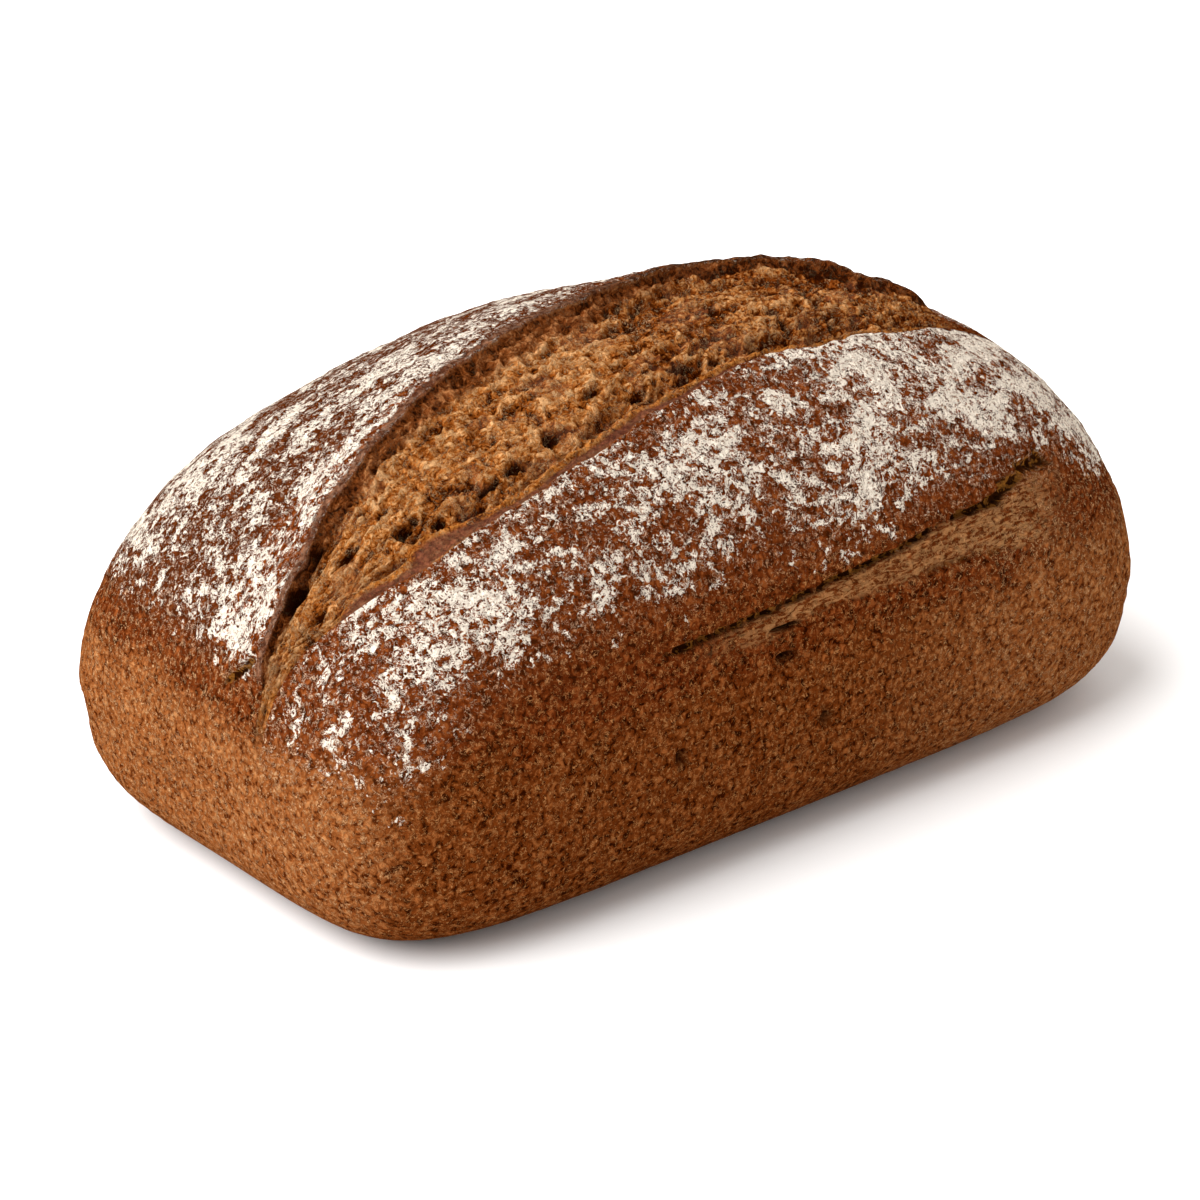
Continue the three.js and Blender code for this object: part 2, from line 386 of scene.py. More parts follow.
def share_across(bearing, place):
    """The share across the box at which a ray from the core meets the body at this place."""
    angle = np.radians(bearing)
    reach = np.maximum(np.abs(np.cos(angle)), np.abs(np.sin(angle)))
    outward = on_box(np.cos(angle) / reach, np.zeros_like(angle), np.sin(angle) / reach)
    start = np.stack([np.zeros_like(place), place, np.full_like(place, WIDEST_LEVEL)], axis=1)
    return place / leaving_share(lambda s: start + outward * s) / (WIDTH / 2)


def openness(bearing):
    """How open the score is: shut at both tips, and fully open past their run-out."""
    far_side = smoothstep(bearing, FAR_TIP, FAR_TIP + FAR_RUN_OUT)
    return far_side * (1 - smoothstep(bearing, NEAR_TIP - NEAR_RUN_OUT, NEAR_TIP))


def edge_waver(bearing, seed):
    """The small wanderings of a torn edge, in millimetres."""
    places = np.stack([bearing, np.zeros_like(bearing), np.zeros_like(bearing)], axis=1)
    return 1.1 * lumps(places, 7.0, seed) + 0.5 * lumps(places, 2.0, seed + 3)


def crowded(share):
    """Steps that are a third as long beside the tear as on average, and longer away from it."""
    return share * (CLOSEST_STEP + (1 - CLOSEST_STEP) * share)


def lip_height(bearing):
    places = np.stack([bearing, bearing, bearing], axis=1)
    place, half_length, height = KNOB
    uneven = 1 + 0.10 * lumps(places, 3.0, 33.0) + 0.06 * lumps(places, 1.1, 37.0)
    plain = LIP_RISE * smooth_curve([row[:2] for row in LIP_FORM], bearing)
    return np.maximum(plain, 0) * uneven + height * bell(bearing - place, half_length)


def build_surface():
    """The loaf's points in millimetres, its quads, and what each point is like."""
    levels = row_levels()
    corners, quads = wrapped_box((STEPS_ALONG, LAST_COLUMN, len(levels) - 1))
    along = corners[:, 0] / STEPS_ALONG * 2 - 1
    up = levels[corners[:, 2]]
    column = corners[:, 1]
    bearing = np.degrees(np.arctan2(up, along))
    bearing = np.where(bearing < -90, bearing + 360, bearing)

    pull = smoothstep(bearing, FAR_TIP - COLUMN_FADE, FAR_TIP)
    pull *= 1 - smoothstep(bearing, NEAR_TIP, NEAR_TIP + COLUMN_FADE)
    open_by = openness(bearing)
    front_y = smooth_curve(FRONT_EDGE, bearing) + edge_waver(bearing, 11.0) * open_by
    rear_y = smooth_curve(REAR_EDGE, bearing) + edge_waver(bearing, 29.0) * open_by
    even_front = 2 * FRONT_COLUMN / LAST_COLUMN - 1
    even_rear = 2 * REAR_COLUMN / LAST_COLUMN - 1
    front = mix(even_front, share_across(bearing, front_y), pull)
    rear = mix(even_rear, share_across(bearing, rear_y), pull)
    before = 1 - crowded(1 - column / FRONT_COLUMN)
    between = np.clip((column - FRONT_COLUMN) / (REAR_COLUMN - FRONT_COLUMN), 0, 1)
    between -= EDGE_CROWDING * np.sin(2 * np.pi * between) / (2 * np.pi)
    after = crowded((column - REAR_COLUMN) / (LAST_COLUMN - REAR_COLUMN))
    across = np.where(column <= FRONT_COLUMN, mix(-1, front, before), mix(front, rear, between))
    across = np.where(column >= REAR_COLUMN, mix(rear, 1, after), across)

    ray = on_box(along, across, up)
    plain = CORE + ray * leaving_share(lambda s: CORE + ray * s)[:, None]
    plain[plain[:, 2] < FLAT_WITHIN, 2] = 0
    facts = {
        "bearing": bearing, "open": open_by, "between": between, "plain": plain,
        "normal": outward_normals(plain), "behind_front": plain[:, 1] - front_y,
        "behind_lip": plain[:, 1] - rear_y, "width": rear_y - front_y,
        "in_tear": (column > FRONT_COLUMN) & (column < REAR_COLUMN),
        "before": column <= FRONT_COLUMN, "lip": lip_height(bearing),
        "toasted": 1 - smoothstep(bearing, TOASTED_UP_TO, PALER_FROM),
    }
    return plain.copy(), quads, facts


# ---- What opens and roughens the surface ----
def span_share(bearing, stops):
    """Rises from 0 to 1 between the first two stops, and falls again between the last two."""
    return smoothstep(bearing, stops[0], stops[1]) * (1 - smoothstep(bearing, stops[2], stops[3]))


def on_profile(profile, distance):
    return np.interp(distance, *np.array(profile, float).T)


def torn_profile(points, facts):
    """Moves the tear's floor, its two edges and the crust beside them into place."""
    bearing, in_tear, lip = facts["bearing"], facts["in_tear"], facts["lip"]
    narrow = np.clip(facts["width"] / FULL_TEAR_WIDTH, 0.1, 1)
    from_front = facts["behind_front"] / narrow
    from_lip = -facts["behind_lip"] / narrow
    strip = smooth_curve(CUT_WIDTHS, bearing)
    places = np.stack([bearing * RUN_PER_DEGREE, bearing * 0, bearing * 0], axis=1)
    wavering = from_front - strip + 0.5 * lumps(places, 2.6, 57.0)
    ledge = on_profile(LEDGE, wavering) * np.clip(0.85 + 1.5 * lumps(places, 5.0, 51.0), 0.15, 2)
    cut = mix(FRONT_EDGE_RISE, LEDGE[0][1], from_front / strip)
    ledge = np.where(from_front < strip, cut, ledge)
    gap = span_share(bearing, GAP_SPAN)
    below = mix(on_profile(WALL_BELOW, from_lip), on_profile(GAP_BELOW, from_lip), gap)
    below = mix(below, on_profile(RIDGE_BELOW, from_lip), span_share(bearing, RIDGE_SPAN))
    swell = TEAR_SWELL * np.sin(np.pi * np.clip(facts["between"], 0, 1)) ** 2
    inside = ledge * narrow * np.sqrt(facts["open"]) + swell * facts["open"] + below * lip
    ahead = FRONT_EDGE_RISE * bell(facts["behind_front"], FRONT_EDGE_REACH) * facts["open"]
    lip_reach = on_profile([(row[0], row[2]) for row in LIP_FORM], bearing)
    behind = lip * bell(facts["behind_lip"], lip_reach)
    height = np.where(in_tear, inside, np.where(facts["before"], ahead, behind))
    droop_reach = mix(DROOP_REACH_AT_TIP, DROOP_REACH, smoothstep(bearing, *DROOP_REACHES_OUT))
    droop = REAR_DROOP * span_share(bearing, DROOP_SPAN)
    height -= droop * smoothstep(facts["behind_lip"] / droop_reach, 0, 1)
    points[:, 1] += np.where(in_tear, on_profile(GAP_UNDERCUT, from_lip) * gap * narrow, 0)
    points += facts["normal"] * height[:, None]
    return from_lip, strip


def crumb(points, facts, from_lip, strip):
    """Torn crumb: strands along the loaf that meet at its tips, tufts, folds and burst bubbles, with
    their share of painted shade.
    """
    inside = facts["in_tear"]
    bearing, between = facts["bearing"][inside], facts["between"][inside]
    run = bearing * RUN_PER_DEGREE
    flat = np.stack([run, between * STRAND_SPREAD, np.zeros_like(run)], axis=1)
    bent = flat.copy()
    bent[:, 1] += lumpy(flat, BROAD_BEND, 5.0) + lumpy(flat, CLOSE_BEND, 7.0)

    # The relief is weaker in places, on the cut strip, at the lip and towards both tips.
    past_strip = (facts["behind_front"] - strip)[inside]
    weight = np.sqrt(facts["open"][inside]) * mix(0.15, 1, smoothstep(past_strip, 0.0, 2.2))
    weight *= mix(0.35, 1, smoothstep(from_lip[inside], 0.2, 1.6)) * smoothstep(between, 0.0, 0.04)
    calm = mix(0.55, 1, smoothstep(lumps(flat, (16, 7, 1), 71.0), -0.25, 0.15))
    strands, folds = ridged(bent, STRANDS, 17.0), ridged(bent, FOLDS, 55.0, FOLD_MIDDLE)
    folded = 1 - smoothstep(bearing, FOLDED_UP_TO, STRANDS_FROM)
    relief = lumpy(flat, SWELLS, 3.0)
    relief += (mix(strands, folds, folded * FOLDED_SHARE) + ridged(bent, THREADS, 27.0)) * calm
    tuft_length, tuft_width, tuft_height = TUFTS
    tufts = tuft_height * rough(bent, (tuft_length, tuft_width, 1), 41.0)
    relief = relief + ridged(bent, SHREDS, 47.0) + tufts

    place_y = facts["plain"][inside, 1]
    ragged = PORE_RAGGEDNESS * lumps(flat, (1.6, 1.6, 1), 90.0)
    deepest = max(depth for *_, depth in PORES)
    # How much painted shade the pores get, more the deeper they are.
    pit = np.zeros_like(run)
    for at, y, long, wide, depth in PORES:
        away = np.hypot((run - at * RUN_PER_DEGREE) / long, (place_y - y) / wide) * 2
        within = 1 - smoothstep(away + ragged, 0.45, 1.15)
        relief -= depth * within
        pit = np.maximum(pit, within * (depth / deepest))
    everywhere, pits = np.zeros(len(points)), np.zeros(len(points))
    everywhere[inside] = relief * weight
    pits[inside] = pit
    points += facts["normal"] * everywhere[:, None]
    return everywhere, pits


# ---- Cracks, holes and unevenness of the crust ----
def near_crack(place, height, line, half_width, ends, seed):
    """How near each point is to an uneven crack along a line: 1 on it and 0 past its width."""
    along = np.stack([place, place, place], axis=1)
    gap = np.abs(height - smooth_curve(line, place) - 0.6 * lumps(along, 6.0, seed))
    fade = span_share(place, (ends[0], ends[0] + CRACK_FADE, ends[1] - CRACK_FADE, ends[1]))
    uneven = 0.35 + 0.35 * half_width + 0.7 * lumps(along, 9.0, seed + 5)
    uneven = uneven + 0.9 * lumps(along, 2.2, seed + 8)
    half_width = half_width * (1 + 0.5 * lumps(along, 3.5, seed + 2))
    return (1 - smoothstep(gap, half_width * 0.5, half_width)) * fade * np.clip(uneven, 0, 1)


def side_cracks(points, facts):
    """The crack along the front side, the shredded band below it and that band's lower edge."""
    x, y, z = facts["plain"].T
    on_front = smoothstep(-y, 40, 50)
    half_width = mix(CRACK_HALF_WIDTH, CRACK_BROADEST, span_share(x, CRACK_BROAD_SPAN))
    upper = near_crack(x, z, SIDE_CRACK, half_width, CRACK_ENDS, 5.0)
    lower = near_crack(x, z, SHRED_FOOT, FOOT_HALF_WIDTH, FOOT_ENDS, 9.0)
    top, foot = smooth_curve(SIDE_CRACK, x), smooth_curve(SHRED_FOOT, x)
    span = span_share(x, BAND_SPAN)
    band = smoothstep(z, foot - 0.6, foot + 1.2) * (1 - smoothstep(z, top - 1.0, top + 0.4)) * span
    ridges = BAND_RIDGES * lumps(np.stack([x / 9, z / 1.8, y * 0], axis=1), 1.0, 60.0)
    above = smoothstep(z, top - 0.2, top + 1.2) * bell(np.maximum(z - top, 0), 9.0) * span
    inward = CRACK_DEPTH * upper + FOOT_DEPTH * lower + band * (BAND_DEPTH - ridges)
    inward = (inward - CRUST_ABOVE_BAND * above) * on_front
    points -= facts["normal"] * inward[:, None]
    # Cracks get painted shade, the band's lower edge less of it.
    return band * on_front, np.maximum(upper, FOOT_DARKNESS * lower) * on_front


def holes(points, facts):
    """The burst bubbles on the front side, and how much painted shade goes in each."""
    x, y, z = facts["plain"].T
    dark = np.zeros(len(points))
    for place, level, long, tall, depth in HOLES:
        away = np.hypot((x - place) / (long / 2), (z - level) / (tall / 2))
        inside = (1 - smoothstep(away, 0.4, 1.15)) * (y < 0)
        points -= facts["normal"] * (depth * inside)[:, None]
        dark = np.maximum(dark, inside)
    return dark


def flap_crack(points, facts):
    """The short crack where the lip's lower corner lifts off the near end."""
    x, y, z = facts["plain"].T
    start, level = FLAP_CORNER
    gap = z - (level + (y - start) * FLAP_SLOPE)
    near_end = (x < -LENGTH / 4) * span_share(y, (start - 3, start, FLAP_END - 6, FLAP_END))
    inward = FLAP_DEPTH * (1 - smoothstep(np.abs(gap), 0.3, 1.3))
    inward -= FLAP_LIFT * bell(gap - 2.5, 4.0) * (gap > 0)
    points -= facts["normal"] * (inward * near_end)[:, None]
    return (1 - smoothstep(np.abs(gap), 0.3, 1.2)) * near_end


def crust_unevenness(points, facts):
    """The dome's broad unevenness and the fine lumps of the crust, away from the flat base."""
    plain = facts["plain"]
    off_base = smoothstep(plain[:, 2], 0, OFF_BASE_BY)
    broad = BROAD_HEIGHT * lumps(plain, BROAD_SIZE, 80.0)
    middling = MIDDLING_HEIGHT * lumps(plain, MIDDLING_SIZE, 90.0)
    fine = FINE_HEIGHT * rough(plain, FINE_SIZE, 100.0)
    rim = facts["toasted"] * bell(facts["behind_lip"], 4.0) * facts["open"]
    grains = rim * (GRAIN_HEIGHT * rough(plain, GRAIN_SIZE, 120.0) + GRAIN_LIFT)
    height = (broad + np.where(facts["in_tear"], 0, middling + fine) + grains) * off_base
    points += facts["normal"] * height[:, None]


# ---- Where the flour lies and where the crust browned ----
def flour_cover(facts):
    x, _, z = facts["plain"].T
    in_front = facts["before"]
    low_edge = np.where(in_front, on_profile(FLOUR_LOW_FRONT, x), on_profile(FLOUR_LOW_REAR, x))
    fade = np.where(in_front, FLOUR_FADE_FRONT, FLOUR_FADE_REAR)
    density = np.where(in_front, on_profile(FLOUR_ALONG_FRONT, x), FLOUR_REAR)
    cover = smoothstep(z, low_edge - fade, low_edge + fade) * density
    return cover * ~facts["in_tear"]


def masks_of(facts, relief, from_lip, strip):
    """How far each point is torn, browned and in painted shade below the lip, floured and so on,
    mostly from 0 to 1.
    """
    bearing, open_tear = facts["bearing"], facts["in_tear"] * smoothstep(facts["open"], 0.0, 0.25)
    x, y, z = facts["plain"].T
    reach = on_profile(SCORCH_AND_SHADE_REACH, bearing)
    cut_share = facts["behind_front"] / np.maximum(strip, 0.1)
    behind = facts["behind_lip"]
    edge = smoothstep(behind, -0.15, 0.1) * (1 - smoothstep(behind, 1.5, 1.9))
    past_strip = facts["behind_front"] - strip
    # The near end is painted lighter, as painted light from the key's side; low on the right half the
    # walls are paler.
    near_end = smoothstep(-x, 99, 113) * (1 - 0.5 * smoothstep(z, 60, 90))
    right_side = 0.85 * smoothstep(x, 5, 75) * (1 - smoothstep(z, 54, 68))
    return {
        "tear": open_tear,
        "relief": np.clip(0.5 + relief / RELIEF_RANGE, 0, 1),
        # The ridge past the cut strip, which takes a painted highlight.
        "ridge": bell(past_strip - 0.8, 0.7) * open_tear,
        # Below the lip the crumb is darker: browned, and in painted shade of the lip.
        "scorch_and_lip_shade": (1 - smoothstep(from_lip, reach * 0.5, reach)) * open_tear,
        "cut": smoothstep(cut_share, 0.0, 0.1) * (1 - smoothstep(cut_share, 0.8, 1.15)) * open_tear,
        "flour": flour_cover(facts),
        "brown": smoothstep(z, 34, 58) + 0.8 * (smoothstep(z, 50, 70) * (y > 0)),
        "lit_end_and_pale": np.maximum(near_end, right_side),
        "toasted": facts["toasted"],
        "lip_edge": edge * smoothstep(facts["lip"], 0.5, 2.5),
    }


def make_loaf_mesh():
    points, quads, facts = build_surface()
    from_lip, strip = torn_profile(points, facts)
    relief, pits = crumb(points, facts, from_lip, strip)
    band, crack_near = side_cracks(points, facts)
    hole_near = holes(points, facts)
    flap_near = flap_crack(points, facts)
    crust_unevenness(points, facts)
    points[:, 2] = np.maximum(points[:, 2], 0)
    points[facts["plain"][:, 2] < FLAT_WITHIN, 2] = 0

    masks = masks_of(facts, relief, from_lip, strip)
    masks["flour"] = np.maximum(masks["flour"], BAND_FLOUR * band)
    masks.update(shred=band, crack=np.clip(crack_near + flap_near, 0, 1), hole=hole_near, pit=pits)
    mesh = bpy.data.meshes.new("loaf_crust")
    mesh.from_pydata((points * MM).tolist(), [], quads.tolist())
    for name, values in masks.items():
        values = values.astype(np.float32)
        mesh.attributes.new(name, "FLOAT", "POINT").data.foreach_set("value", values)
    for name, parts in pattern_places(facts).items():
        values = np.stack(parts, axis=1).astype(np.float32).ravel()
        mesh.attributes.new(name, "FLOAT_VECTOR", "POINT").data.foreach_set("vector", values)
    mesh.shade_smooth()
    join_base(mesh)
    return mesh


def pattern_places(facts):
    """Places for patterns stretched along the loaf: strands of crumb, and drifts of flour."""
    x, y, z = facts["plain"].T
    run = facts["bearing"] * RUN_PER_DEGREE
    rear = ~facts["before"] & ~facts["in_tear"]
    return {
        "flow": (run / 5.0, y, z * 0.2),
        "drift": (np.where(rear, run * 0.3, x * 0.65), y, np.where(rear, z, z * 0.8)),
    }


def join_base(mesh):
    """Makes the flat base one face."""
    whole = bmesh.new()
    whole.from_mesh(mesh)
    flat = [face for face in whole.faces if max(corner.co.z for corner in face.verts) < 1e-7]
    base = bmesh.ops.dissolve_faces(whole, faces=flat)["region"]
    for face in base:
        face.smooth = False
    whole.to_mesh(mesh)
    whole.free()


# ---- Materials ----
class Nodes:
    """A material's node tree, with one short call for each kind of node used here."""

    def __init__(self, name):
        self.material = bpy.data.materials.new(name)
        self.material.use_nodes = True
        self.tree = self.material.node_tree
        self.shader = self.tree.nodes["Principled BSDF"]

    def set(self, socket, value):
        if isinstance(value, bpy.types.NodeSocket):
            self.tree.links.new(value, socket)
        elif value is not None:
            socket.default_value = value

    def attribute(self, name, output="Fac"):
        node = self.tree.nodes.new("ShaderNodeAttribute")
        node.attribute_name = name
        return node.outputs[output]

    def places(self):
        """Places on the piece in millimetres."""
        coordinates = self.tree.nodes.new("ShaderNodeTexCoord")
        scale = self.tree.nodes.new("ShaderNodeVectorMath")
        scale.operation = "SCALE"
        self.set(scale.inputs[0], coordinates.outputs["Object"])
        scale.inputs["Scale"].default_value = 1 / MM
        return scale.outputs[0]

    def stretched(self, vector, factors):
        node = self.tree.nodes.new("ShaderNodeVectorMath")
        node.operation = "MULTIPLY"
        self.set(node.inputs[0], vector)
        node.inputs[1].default_value = factors
        return node.outputs[0]

    def noise(self, vector, size, detail=2.0, roughness=0.5, distortion=0.0):
        node = self.tree.nodes.new("ShaderNodeTexNoise")
        self.set(node.inputs["Vector"], vector)
        node.inputs["Scale"].default_value = 1 / size
        node.inputs["Detail"].default_value = detail
        node.inputs["Roughness"].default_value = roughness
        node.inputs["Distortion"].default_value = distortion
        return node.outputs["Fac"]

    def math(self, operation, first, second=None, third=None):
        node = self.tree.nodes.new("ShaderNodeMath")
        node.operation = operation
        for socket, value in zip(node.inputs, (first, second, third)):
            self.set(socket, value)
        return node.outputs[0]

    def step(self, value, start, end, low=0.0, high=1.0):
        """low below start and high above end, with a smooth step between."""
        node = self.tree.nodes.new("ShaderNodeMapRange")
        node.interpolation_type = "SMOOTHSTEP"
        for socket, setting in zip(node.inputs, (value, start, end, low, high)):
            self.set(socket, setting)
        return node.outputs[0]

    def blend(self, share, first, second):
        node = self.tree.nodes.new("ShaderNodeMix")
        node.data_type = "RGBA"
        self.set(node.inputs["Factor"], share)
        self.set(node.inputs["A"], first)
        self.set(node.inputs["B"], second)
        return node.outputs["Result"]

    def grained(self, pattern, stops, low_colour, high_colour):
        """One named colour where a pattern is below the first stop, another above the second."""
        return self.blend(self.step(pattern, *stops), colour(low_colour), colour(high_colour))

    def tinted(self, mask, strength, first, second):
        """The first colour, with this much of the second where the mask is 1."""
        return self.blend(self.math("MULTIPLY", mask, strength), first, second)

    def blend_values(self, share, first, second):
        node = self.tree.nodes.new("ShaderNodeMix")
        self.set(node.inputs["Factor"], share)
        self.set(node.inputs["A"], first)
        self.set(node.inputs["B"], second)
        return node.outputs["Result"]

    def off_middle(self, value):
        """How far a noise is from its middle value."""
        return self.math("ABSOLUTE", self.math("SUBTRACT", value, 0.5))

    def bump(self, height, distance):
        node = self.tree.nodes.new("ShaderNodeBump")
        self.set(node.inputs["Height"], height)
        node.inputs["Distance"].default_value = distance
        return node.outputs["Normal"]


def colour(name):
    """A named colour as the linear colour that a shader takes."""
    channels = (channel / 255 for channel in COLOURS[name])
    return tuple(c / 12.92 if c <= 0.04045 else ((c + 0.055) / 1.055) ** 2.4 for c in channels) + (1,)


def shared_noises(n):
    """The noises that more than one part of the crust is coloured by."""
    places = n.places()
    # Curled flakes: thin lines where two folded noises cross their middle value.
    broad_curl = n.off_middle(n.noise(places, 1.7, 2.0, 0.5, 1.5))
    close_curl = n.off_middle(n.noise(places, 1.0, 2.0, 0.5, 1.2))
    return {
        "places": places,
        "curl": n.math("MINIMUM", broad_curl, n.math("MULTIPLY", close_curl, 1.25)),
        "scatter": n.noise(places, 2.0, 2.0, 0.6, 0.6),
        "pores": n.noise(places, 1.5, 4.0, 0.66, 0.5),
        "blotch": n.noise(places, 9.0, 3.0, 0.55),
    }


def bare_crust(n, noises):
    """The walls that the tin browned, painted lighter at the near end and paler low on the right, and
    the redder, darker crust above them.
    """
    in_pit, on_grain = n.step(noises["pores"], 0.38, 0.48), n.step(noises["pores"], 0.52, 0.62)
    kinds = {}
    for kind in ("wall", "lit_end_and_pale", "upper"):
        middle = n.blend(in_pit, colour(kind + "_pit"), colour(kind))
        kinds[kind] = n.blend(on_grain, middle, colour(kind + "_grain"))
    # Where that mask is high the walls take their lighter copy: painted light at the near end, paler
    # low on the right.
    wall = n.blend(n.attribute("lit_end_and_pale"), kinds["wall"], kinds["lit_end_and_pale"])
    uneven = n.math("SUBTRACT", noises["blotch"], 0.5)
    browned = n.math("MULTIPLY_ADD", uneven, 1.1, n.attribute("brown"))
    crust = n.blend(n.step(browned, 0.2, 0.9), wall, kinds["upper"])
    crust = n.blend(n.step(browned, 0.9, 1.7, 0.0, 0.6), crust, colour("darkest_crust"))
    streak = n.noise(n.stretched(noises["places"], (0.3, 1.0, 1.0)), 0.8, 3.0, 0.6, 0.8)
    shred = n.grained(streak, (0.42, 0.60), "shred_split", "shred")
    return n.tinted(n.attribute("shred"), 0.5, crust, shred)


def flour_density(n, noises, cover):
    """How thickly the flour lies: in patches, clumps and specks, and none on the lip's edge."""
    drift = n.attribute("drift", "Vector")
    clump = n.noise(drift, 5.0, 3.0, 0.6, 0.6)
    patch = n.noise(drift, 18.0, 2.0, 0.5)
    heap = n.math("MULTIPLY_ADD", patch, 0.28, n.math("MULTIPLY", clump, 0.56))
    heap = n.math("MULTIPLY_ADD", noises["scatter"], 0.54, heap)
    heap = n.math("MULTIPLY_ADD", n.math("SUBTRACT", cover, 1.0), 0.28, heap)
    off_lip_edge = n.math("SUBTRACT", 1.0, n.attribute("lip_edge"))
    return n.math("MULTIPLY", n.step(heap, 0.660, 0.840), off_lip_edge)


def floured(n, noises, crust):
    """The crust under its flakes, which are tan and partly painted highlight, and white where flour
    lies, and where those flakes are.
    """
    cover = n.attribute("flour")
    dense = flour_density(n, noises, cover)
    reach = n.math("MULTIPLY_ADD", dense, 0.054, 0.022)
    # On bare crust these flakes are tan lines: partly the crust's flaky texture, partly painted
    # highlight.
    flake_and_glint = n.step(n.math("SUBTRACT", reach, noises["curl"]), -0.010, 0.010)
    spread = n.noise(noises["places"], 1.1, 2.0, 0.6, 0.4)
    spread = n.math("MULTIPLY_ADD", cover, 0.03, n.math("MULTIPLY_ADD", dense, 0.4, spread))
    flake_and_glint = n.math("MULTIPLY", flake_and_glint, n.step(spread, 0.49, 0.58))
    flaked = n.math("MULTIPLY", flake_and_glint, n.step(dense, 0.0, 0.5, 0.88, 0.97))
    bare_flake_and_glint = n.blend(n.attribute("lit_end_and_pale"), colour("flake_and_glint"), colour("lit_end_and_pale_flake_glint"))
    dusted = n.step(n.math("MULTIPLY_ADD", cover, 0.4, dense), 0.16, 0.66)
    flake_colour = n.blend(dusted, bare_flake_and_glint, colour("flour"))
    crust = n.tinted(cover, 0.08, crust, colour("dusted_crust"))
    film = n.math("MULTIPLY", n.step(dense, 0.65, 1.0), n.step(noises["pores"], 0.36, 0.58, 0.0, 0.5))
    crust = n.blend(film, crust, colour("flour_film"))
    return n.blend(flaked, crust, flake_colour), flaked


def torn_crumb(n, noises):
    """Crumb, with a golden painted highlight on its tufts, orange painted shade in its hollows, and
    towards the lip browned and in painted shade.
    """
    flow, toasted = n.attribute("flow", "Vector"), n.attribute("toasted")
    strands = n.noise(flow, 1.4, 4.0, 0.62, 0.5)
    grain = n.noise(noises["places"], 1.6, 4.0, 0.66, 1.4)
    tufted = n.math("MULTIPLY_ADD", strands, 0.40, n.math("MULTIPLY", grain, 0.75))
    tufted = n.math("MULTIPLY_ADD", n.math("SUBTRACT", n.attribute("relief"), 0.5), 0.5, tufted)
    tufted = n.math("MULTIPLY_ADD", toasted, -0.03, n.math("SUBTRACT", tufted, 0.125))
    # Colour follows the crumb's height: painted shade in its holes and hollows, darker and more
    # orange, and painted highlight on its tufts.
    hollow_shade = n.blend(toasted, colour("crumb_hollow_shade"), colour("toasted_hollow_shade"))
    torn = n.blend(n.step(tufted, 0.30, 0.41), colour("crumb_hole"), hollow_shade)
    torn = n.blend(n.step(tufted, 0.41, 0.49), torn, colour("crumb"))
    torn = n.blend(n.step(tufted, 0.49, 0.60), torn, colour("crumb_tuft_highlight"))

    # Painted shade in thin splits between strands, dull blotches, bright glints and a painted
    # highlight on the ridge in front.
    split = n.off_middle(n.noise(flow, 1.5, 3.0, 0.6, 0.8))
    # Thin splits between strands get painted shade.
    splits = n.math("MULTIPLY", n.step(split, 0.020, 0.004), n.step(grain, 0.60, 0.48))
    torn = n.tinted(splits, 0.6, torn, colour("crumb_split_shade"))
    torn = n.tinted(n.step(noises["blotch"], 0.54, 0.62), 0.18, torn, colour("crumb_blotch"))
    lines = n.step(noises["curl"], 0.030, 0.008)
    glints = n.math("MULTIPLY", lines, n.step(noises["scatter"], 0.46, 0.56))
    torn = n.tinted(glints, 0.6, torn, colour("crumb_glint"))
    # A painted highlight on the ridge in front.
    ridge_highlight = n.math("MULTIPLY", n.attribute("ridge"), n.step(grain, 0.42, 0.54))
    torn = n.tinted(ridge_highlight, 0.5, torn, colour("front_ridge_highlight"))

    # The wall below the lip, browned and in painted shade of the lip, the toasted far half, painted
    # shade in the pores and the cut strip.
    # The crumb below the lip: browned, and in painted shade of the lip, with painted highlight on its
    # tufts.
    scorched_and_shaded = n.grained(tufted, (0.34, 0.50), "scorched_and_shaded_hollow", "scorched_and_shaded")
    scorched_and_shaded = n.blend(n.step(tufted, 0.52, 0.62), scorched_and_shaded, colour("scorched_tuft_highlight"))
    torn = n.tinted(n.attribute("scorch_and_lip_shade"), 0.85, torn, scorched_and_shaded)
    torn = n.tinted(toasted, 0.05, torn, colour("toasted"))
    # Pores are painted near black: painted shade, darker the deeper they are.
    torn = n.tinted(n.attribute("pit"), 0.95, torn, colour("pore_shade_colour"))
    cut_face = n.grained(noises["pores"], (0.4, 0.6), "cut_dark", "cut")
    torn = n.tinted(n.attribute("cut"), 0.85, torn, cut_face)
    return torn, n.math("MULTIPLY_ADD", glints, 0.3, tufted)


def edge_and_cracks(n, noises, surface):
    """The dry edge of the lip, and painted shade in cracks and burst bubbles."""
    dry = n.grained(noises["pores"], (0.4, 0.62), "dry_edge_dark", "dry_edge")
    toasted_rim = n.grained(noises["pores"], (0.42, 0.62), "toasted_edge_dark", "toasted_edge")
    rim = n.blend(n.attribute("toasted"), dry, toasted_rim)
    surface = n.tinted(n.attribute("lip_edge"), 0.85, surface, rim)
    # In cracks, painted shade with golden inner crust between.
    in_crack = n.grained(noises["scatter"], (0.48, 0.56), "crack_shade", "crack")
    surface = n.blend(n.step(n.attribute("crack"), 0.1, 0.6, 0.0, 0.95), surface, in_crack)
    # Burst bubbles are painted near black: painted shade.
    return n.tinted(n.attribute("hole"), 0.95, surface, colour("hole"))


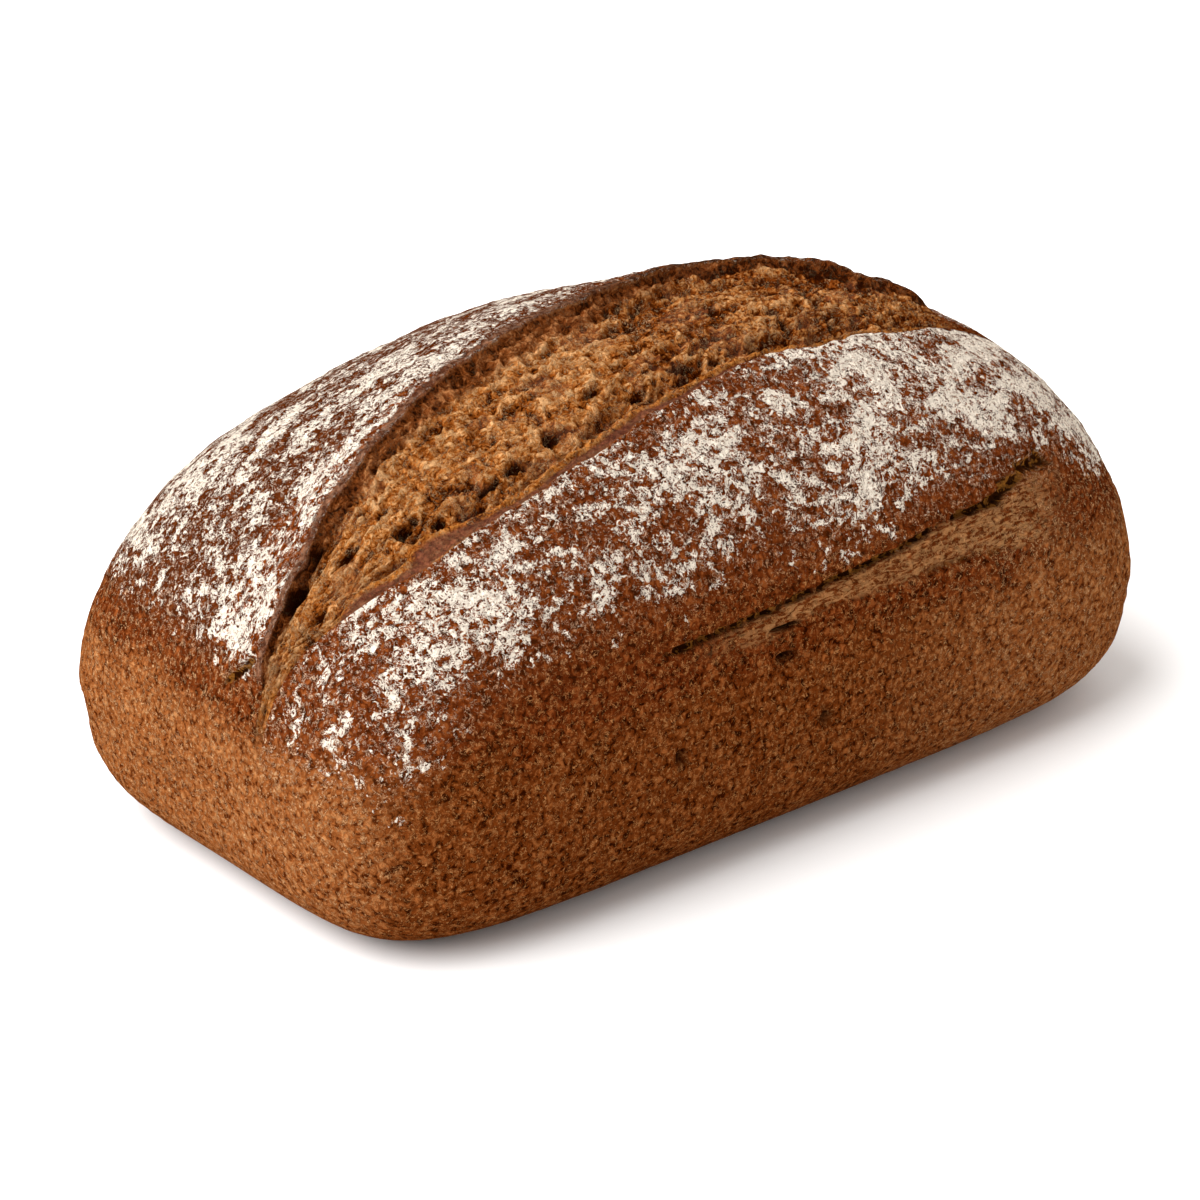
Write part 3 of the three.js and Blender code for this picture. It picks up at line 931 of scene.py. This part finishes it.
def crust_material():
    n = Nodes("loaf_crust")
    noises = shared_noises(n)
    surface, flaked = floured(n, noises, bare_crust(n, noises))
    torn, torn_height = torn_crumb(n, noises)
    surface = n.blend(n.attribute("tear"), surface, torn)
    n.set(n.shader.inputs["Base Color"], edge_and_cracks(n, noises, surface))
    n.shader.inputs["Specular IOR Level"].default_value = 0.0

    roughness = n.step(noises["pores"], 0.35, 0.65, 0.66, 0.5)
    roughness = n.math("MULTIPLY_ADD", flaked, 0.25, roughness)
    n.set(n.shader.inputs["Roughness"], n.math("MINIMUM", roughness, 0.95))

    height = n.math("MULTIPLY_ADD", flaked, 0.25, noises["pores"])
    height = n.blend_values(n.attribute("tear"), height, torn_height)
    n.set(n.shader.inputs["Normal"], n.bump(height, BUMP_HEIGHT * MM))
    return n.material


def floor_material():
    n = Nodes("studio_floor")
    n.shader.inputs["Base Color"].default_value = colour("floor")
    n.shader.inputs["Roughness"].default_value = 0.9
    return n.material


# ---- The scene ----
def place_camera():
    """Looks down at the near end and the front side, from about 1.2 m away."""
    azimuth, elevation = radians(VIEW_AZIMUTH), radians(VIEW_ELEVATION)
    towards_eye = Vector((
        sin(azimuth) * cos(elevation), -cos(azimuth) * cos(elevation), sin(elevation)))
    right = Vector((cos(azimuth), sin(azimuth), 0))
    upward = towards_eye.cross(right)
    middle = Vector((0, 0, VIEW_CENTRE_HEIGHT * MM))
    aim = middle + right * (AIM_RIGHT * MM) + upward * (AIM_UP * MM)
    data = bpy.data.cameras.new("camera")
    data.lens = LENS_MM
    data.clip_end = CLIP_END
    camera = bpy.data.objects.new("camera", data)
    bpy.context.collection.objects.link(camera)
    camera.location = middle + towards_eye * CAMERA_DISTANCE
    camera.rotation_euler = (aim - camera.location).to_track_quat("-Z", "Y").to_euler()
    bpy.context.scene.camera = camera


def sun_light(name, direction, strength, softness):
    data = bpy.data.lights.new(name, "SUN")
    data.energy = strength
    data.angle = radians(softness)
    lamp = bpy.data.objects.new(name, data)
    bpy.context.collection.objects.link(lamp)
    lamp.location = direction
    lamp.rotation_euler = (-Vector(direction)).to_track_quat("-Z", "Y").to_euler()


def studio():
    world = bpy.data.worlds.new("studio")
    world.use_nodes = True
    background = world.node_tree.nodes["Background"]
    background.inputs["Color"].default_value = WORLD_COLOUR
    background.inputs["Strength"].default_value = WORLD_STRENGTH
    bpy.context.scene.world = world
    bpy.context.scene.view_settings.view_transform = "Standard"
    sun_light("key", KEY_FROM, KEY_STRENGTH, KEY_SOFTNESS)

    bpy.ops.mesh.primitive_plane_add(size=FLOOR_SIZE)
    floor = bpy.context.object
    floor.name = "floor"
    floor.data.materials.append(floor_material())


place_camera()
studio()
loaf = bpy.data.objects.new("loaf_crust", make_loaf_mesh())
bpy.context.collection.objects.link(loaf)
loaf.data.materials.append(crust_material())
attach(loaf, "root")
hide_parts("loaf")
